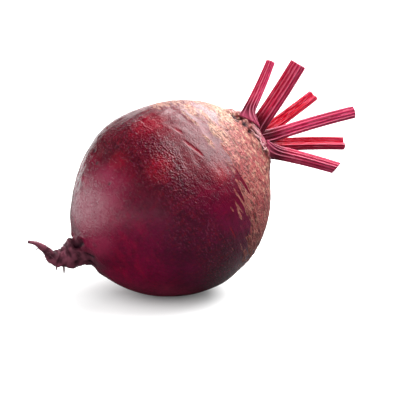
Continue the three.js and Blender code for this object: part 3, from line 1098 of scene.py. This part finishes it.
def stalk_material(stalks):
    """Fresh beet leaf stalk: crisp, juicy and ribbed, with a thin shiny rind. It gives the eye wet-looking
    crimson between thin pale ribs, and a paler sheath at the foot. The pale ribs and the pink are partly
    painted highlights and sheen, and the feet are painted with shade."""
    fields = ("along", "crest", "sheath", "rind", "pinkness_and_painted_light", "strip")
    material, tree, shader, share = new_material("leaf_stalk_rind", fields)
    inside = add(tree, "ShaderNodeMath", {0: 1.0, 1: share["rind"]}, operation="SUBTRACT")
    share["inside"] = inside.outputs[0]
    patterns = {
        "thread": ("strip", 0.36, 2, 0.54, 0.62),
        "shadow": ("strip", 0.6, 2, 0.5, 0.66),
        "vessel": ("strip", 0.7, 1, 0.56, 0.64),
    }
    add_shares(tree, share, patterns, {
        "rib": (share["crest"], 0.6, 0.85),
        "groove": (share["crest"], 0.3, 0.05),
        "foot": (share["along"], 0.42, 0.14),
        "tip": (share["along"], 0.7, 1.0),
    })
    layers = [
        # The pink is partly painted light: a sheen and a lighter side.
        ("pinkness_and_painted_light", 1.0, stalks.pink),
        ("groove", 0.7, stalks.groove),
        ("shadow", 0.45, stalks.groove),
        ("thread", 0.3, stalks.rib),
        ("tip", 0.15, stalks.pink),
        # Painted shade at the feet of the stalks, between them.
        ("foot", 0.92, stalks.shade),
        # Partly painted highlights: the ribs' crests are painted pale.
        ("rib", "pinkness_and_painted_light", stalks.rib),
        ("rib", 0.1, stalks.rib),
        ("sheath", 0.9, stalks.sheath),
        ("inside", 1.0, stalks.cut),
        ("inside", "vessel", stalks.vein),
    ]
    colour = painted(tree, share, (*stalks.crimson, 1), layers)
    bump = add(tree, "ShaderNodeBump", {"Height": share["thread"], "Distance": 0.08 * MM})
    tree.links.new(colour, shader.inputs["Base Color"])
    tree.links.new(bump.outputs[0], shader.inputs["Normal"])
    shader.inputs["Roughness"].default_value = 0.3
    shader.inputs["Specular IOR Level"].default_value = 0.08
    return material


class BEETROOT_OT_stalks(bpy.types.Operator):
    """Grow the six trimmed leaf stalks"""

    bl_idname = "beetroot.stalks"
    bl_label = "Grow the leaf stalks"

    def execute(self, context):
        stalks = context.scene.beetroot_stalks
        material = stalk_material(stalks)
        for number, stalk in enumerate(STALKS, 1):
            grid, fields = stalk_grid(stalk, stalks.rib_height / MM)
            vertices, faces = closed_skin(grid)
            values = {name: with_middles(field) for name, field in fields.items()}
            name = f"leaf_stalk_rind_{number}"
            piece = new_piece(name, vertices, faces, material, values)
            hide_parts(f"leaf_stalk_{number}")
        return {"FINISHED"}


# ---- Torn fibres, rootlets and root hairs ----


def strand_grid(controls, half_width, flatness, rows, sides):
    """A strand: an oval carried along a curve and drawn in towards its end. The oval's flat side
    faces away from the plant's axis, and flatness is its thickness as a share of its width."""
    t = np.linspace(0, 1, rows)
    place, along = bezier(controls, t)
    outer = place.mean(0) * (1, 1, 0)
    flat = square_to(along, outer / np.linalg.norm(outer))
    side = np.cross(flat, along)
    angle = ring_angles(sides)
    width = half_width * np.sqrt(1.02 - t**2)[:, None]
    across, thick = width * np.cos(angle), width * flatness * np.sin(angle)
    grid = place[:, None] + side[:, None] * across[..., None] - flat[:, None] * thick[..., None]
    return grid, t[:, None] + 0 * across


def strands_piece(name, strands, material):
    """One piece of many closed strands."""
    vertices, faces, along = [], [], []
    count = 0
    for grid, share in strands:
        points, sheets = closed_skin(grid, count)
        vertices.append(points)
        faces += sheets
        along.append(with_middles(share))
        count += len(points)
    values = {"along": np.concatenate(along)}
    return new_piece(name, np.concatenate(vertices), faces, material, values)


def fibre_controls(angles, heights, lift):
    """A fibre's curve: it starts under the skin at the rim, follows it, and lifts off."""
    (a, b), (low, high) = angles, heights
    return [
        bulb_point(a, low, -0.6),
        bulb_point(a + (b - a) / 3, low, 0.9),
        bulb_point(a + (b - a) * 2 / 3, high, 0.7),
        bulb_point(b, high, lift),
    ]


def fibre_strands(count):
    """The torn strips on the near side, and short fibres at places drawn all round the rim."""
    strands = []
    for strip in TORN_STRIPS:
        controls = fibre_controls(strip["angles"], strip["heights"], strip["lift"])
        strands.append(strand_grid(controls, strip["width"] / 2, 0.4, 16, 8))
    draw = np.random.default_rng(FIBRE_SEED)
    for _ in range(count):
        start = draw.uniform(*SHORT_FIBRE["angle"])
        reach = draw.choice([-1, 1]) * draw.uniform(*SHORT_FIBRE["reach"])
        low = draw.uniform(*SHORT_FIBRE["height"])
        heights = (low, low + draw.uniform(*SHORT_FIBRE["drop"]))
        lift = draw.uniform(*SHORT_FIBRE["lift"])
        controls = fibre_controls((start, start + reach), heights, lift)
        strands.append(strand_grid(controls, draw.uniform(*SHORT_FIBRE["half_width"]), 0.5, 12, 6))
    return strands


def tap_spot(at, turn, above):
    """A point above the tap root's skin, at a share of its curve and an angle round it."""
    share = np.array([at])
    return tap_points(share, np.array([[turn]]), tap_radius(share)[:, None] + above)[0, 0]


def rootlet_strands():
    """The tap root's cut side roots: each starts inside it and runs straight out, then bends."""
    strands = []
    for rootlet in ROOTLETS:
        turn = math.radians(rootlet["angle"])
        reach = [-ROOTLET_SINK, 0.3 * rootlet["length"], rootlet["length"]]
        controls = [tap_spot(rootlet["at"], turn, out) for out in reach]
        controls[2] = controls[2] + (0, 0, -0.35)
        strands.append(strand_grid(controls, rootlet["radius"] * 0.75, 0.9, 14, 10))
    return strands


def hair_strands(count):
    """Fine hairs at places drawn along the tap root, bent by small draws of their own."""
    draw = np.random.default_rng(HAIR_SEED)
    strands = []
    for _ in range(count):
        at, turn, length = [draw.uniform(*ROOT_HAIR[name]) for name in ("at", "turn", "length")]
        controls = [tap_spot(at, turn, out * length) for out in (-0.5, 0.5, 1)]
        controls[1] = controls[1] + draw.uniform(*ROOT_HAIR["bend"], 3)
        controls[2] = controls[2] + draw.uniform(*ROOT_HAIR["stray"], 3)
        strands.append(strand_grid(controls, draw.uniform(*ROOT_HAIR["half_width"]), 1, 8, 5))
    return strands


def strand_material(name, fresh, dry, roughness):
    """Torn plant fibre: stringy and dull, fresh where it is attached and dried at its end."""
    material, tree, shader, share = new_material(name, ("along",))
    share["place"] = add(tree, "ShaderNodeTexCoord", {}).outputs["Object"]
    patterns = {"mottle": ("place", 0.8 * MM, 3, 0.4, 0.62)}
    add_shares(tree, share, patterns, {"dried": (share["along"], 0.5, 1.0)})
    colour = painted(tree, share, (*fresh, 1), [("dried", 0.8, dry), ("mottle", 0.4, dry)])
    tree.links.new(colour, shader.inputs["Base Color"])
    shader.inputs["Roughness"].default_value = roughness
    shader.inputs["IOR"].default_value = 1.4
    return material


class BEETROOT_OT_strands(bpy.types.Operator):
    """Grow the torn sheath fibres, the rootlets and the root hairs"""

    bl_idname = "beetroot.strands"
    bl_label = "Grow the fibres and rootlets"

    def execute(self, context):
        strands = context.scene.beetroot_strands
        fibre = strand_material("torn_sheath_fibre", strands.fibre, strands.dry, 0.5)
        root = strand_material("rootlet_skin", strands.rootlet, strands.rootlet, 0.6)
        strands_piece("sheath_fibres", fibre_strands(strands.fibres), fibre)
        strands_piece("rootlets", rootlet_strands(), root)
        strands_piece("root_hairs", hair_strands(strands.hairs), root)
        return {"FINISHED"}


# ---- The stage ----


def camera_axes():
    """The camera's right, up and backward directions."""
    azimuth, elevation = math.radians(CAMERA["azimuth"]), math.radians(CAMERA["elevation"])
    level = math.cos(elevation)
    back = Vector((math.sin(azimuth) * level, -math.cos(azimuth) * level, math.sin(elevation)))
    right = Vector((math.cos(azimuth), math.sin(azimuth), 0))
    return right, back.cross(right), back


def soft_box(name, box, brightness):
    """A rectangular soft box that faces its aim. Brightness is against white paper."""
    light = bpy.data.lights.new(name, "AREA")
    light.shape = "RECTANGLE"
    light.size, light.size_y = box["size"]
    light.energy = brightness * math.pi * light.size * light.size_y
    backward = (Vector(box["place"]) - Vector(box["aim"])).normalized()
    upward = backward.cross(Vector(box["across"])).normalized()
    turn = Matrix((upward.cross(backward), upward, backward)).transposed()
    lamp = bpy.data.objects.new(name, light)
    lamp.matrix_world = Matrix.Translation(box["place"]) @ turn.to_4x4()
    lamp.visible_camera = False
    bpy.context.scene.collection.objects.link(lamp)
    return lamp


def table_material(stage):
    """White translucent acrylic, lit softly from inside, with a satin finish. It gives the eye a bright
    table with pale shadows, and its glow fades round the beetroot's foot in a painted shadow. Only the
    camera sees it like that: it lights the beetroot as a dark table would, which keeps the lower side deep
    red, and a bright far part of it glows for reflections alone, a painted reflection that the skin
    mirrors."""
    material = bpy.data.materials.new("white_acrylic")
    material.use_nodes = True
    tree = material.node_tree
    shader = tree.nodes["Principled BSDF"]
    ray = add(tree, "ShaderNodeLightPath", {})
    seen, mirrored = ray.outputs["Is Camera Ray"], ray.outputs["Is Glossy Ray"]
    shades = {FACTOR: seen, UNDER: (*stage.table_shade, 1), OVER: (*stage.table, 1)}
    colour = add(tree, "ShaderNodeMix", shades, data_type="RGBA").outputs[MIXED_COLOUR]

    # The glow fades in round the beetroot's foot as a painted shadow, and turns white towards the
    # background.
    place = add(tree, "ShaderNodeTexCoord", {}).outputs["Object"]
    length = add(tree, "ShaderNodeVectorMath", {0: place}, operation="LENGTH").outputs["Value"]
    fade = {"Value": length, "From Min": 0.0, "From Max": TABLE["glow"], "To Max": stage.table_glow}
    near = add(tree, "ShaderNodeMapRange", fade, interpolation_type="SMOOTHSTEP").outputs["Result"]
    start, end = TABLE["whitens"]
    distant = {"Value": length, "From Min": start, "From Max": end, "To Min": near, "To Max": 1.0}
    even = add(tree, "ShaderNodeMapRange", distant, interpolation_type="SMOOTHSTEP").outputs["Result"]

    # A glow on the far left that only reflections see: a painted reflection in the skin.
    leftwards = {0: place, 1: TABLE["mirrored_side"]}
    away = add(tree, "ShaderNodeVectorMath", leftwards, operation="DOT_PRODUCT").outputs["Value"]
    start, end = TABLE["mirrored"]
    reach = {"Value": away, "From Min": start, "From Max": end, "To Max": stage.table_shine}
    far = add(tree, "ShaderNodeMapRange", reach, interpolation_type="SMOOTHSTEP").outputs["Result"]
    shine = add(tree, "ShaderNodeMath", {0: far, 1: mirrored}, operation="MULTIPLY").outputs[0]
    glows = {0: seen, 1: even, 2: shine}
    glow = add(tree, "ShaderNodeMath", glows, operation="MULTIPLY_ADD").outputs[0]

    tree.links.new(colour, shader.inputs["Base Color"])
    tree.links.new(glow, shader.inputs["Emission Strength"])
    shader.inputs["Emission Color"].default_value = (1, 1, 1, 1)
    shader.inputs["Roughness"].default_value = 0.7
    return material


class BEETROOT_OT_stage(bpy.types.Operator):
    """Set up the table, the soft light and the camera"""

    bl_idname = "beetroot.stage"
    bl_label = "Set the stage"

    def execute(self, context):
        stage = context.scene.beetroot_stage
        scene = context.scene
        half = TABLE["half"]
        level = [(-half, -half), (half, -half), (half, half), (-half, half)]
        corners = [(*corner, -TABLE["below"]) for corner in level]
        mesh = bpy.data.meshes.new("table")
        mesh.from_pydata(corners, [], [(0, 1, 2, 3)])
        mesh.materials.append(table_material(stage))
        table = bpy.data.objects.new("table", mesh)
        scene.collection.objects.link(table)

        lamps = {name: soft_box(name, box, getattr(stage, name)) for name, box in SOFT_BOXES.items()}
        # The front light gives no glare, as a polarised one would not, and the fill lights the
        # table alone.
        lamps["front_light"].visible_glossy = False
        lit = bpy.data.collections.new("lit_by_table_fill")
        lit.objects.link(table)
        lamps["table_fill"].light_linking.receiver_collection = lit

        # The camera sees a white background, and the room lights the beetroot far less.
        world = bpy.data.worlds.new("room")
        world.use_nodes = True
        tree = world.node_tree
        room = tree.nodes["Background"]
        room.inputs["Color"].default_value = (1, 1, 1, 1)
        seen = add(tree, "ShaderNodeLightPath", {}).outputs["Is Camera Ray"]
        strength = add(tree, "ShaderNodeMix", {FACTOR: seen, LOW: stage.room_light, HIGH: 1.0})
        tree.links.new(strength.outputs[0], room.inputs["Strength"])
        scene.world = world
        scene.view_settings.view_transform = "Standard"

        right, up, back = camera_axes()
        aim = Vector(BULB_CENTRE * MM) + right * CAMERA["right"] + up * CAMERA["up"]
        camera = bpy.data.objects.new("camera", bpy.data.cameras.new("camera"))
        camera.data.lens = CAMERA["lens"]
        camera.data.sensor_width = 36
        camera.data.clip_start = 0.01
        camera.matrix_world = Matrix.Translation(aim + back * CAMERA["distance"]) @ (
            Matrix((right, up, back)).transposed().to_4x4())
        scene.collection.objects.link(camera)
        scene.camera = camera
        return {"FINISHED"}


class BEETROOT_PT_panel(bpy.types.Panel):
    """Lists the beetroot's pieces and their settings"""

    bl_idname = "BEETROOT_PT_panel"
    bl_label = "Beetroot"
    bl_space_type = "VIEW_3D"
    bl_region_type = "UI"
    bl_category = "Beetroot"

    def draw(self, context):
        for operator, group in STEPS:
            box = self.layout.box()
            box.operator(operator)
            settings = getattr(context.scene, group)
            for name in settings.bl_rna.properties.keys():
                if name not in ("rna_type", "name"):
                    box.prop(settings, name)


STEPS = [
    ("beetroot.stage", "beetroot_stage"),
    ("beetroot.root", "beetroot_skin"),
    ("beetroot.stalks", "beetroot_stalks"),
    ("beetroot.strands", "beetroot_strands"),
]
GROUPS = {
    "beetroot_skin": BeetrootSkin,
    "beetroot_stalks": BeetrootStalks,
    "beetroot_strands": BeetrootStrands,
    "beetroot_stage": BeetrootStage,
}
CLASSES = [
    *GROUPS.values(), BEETROOT_OT_stage, BEETROOT_OT_root, BEETROOT_OT_stalks,
    BEETROOT_OT_strands, BEETROOT_PT_panel,
]


def register():
    for cls in CLASSES:
        bpy.utils.register_class(cls)
    for name, group in GROUPS.items():
        setattr(bpy.types.Scene, name, PointerProperty(type=group))


def unregister():
    for name in GROUPS:
        delattr(bpy.types.Scene, name)
    for cls in reversed(CLASSES):
        bpy.utils.unregister_class(cls)


def main():
    register()
    for operator, _ in STEPS:
        group, name = operator.split(".")
        getattr(getattr(bpy.ops, group), name)()


if __name__ == "__main__":
    main()
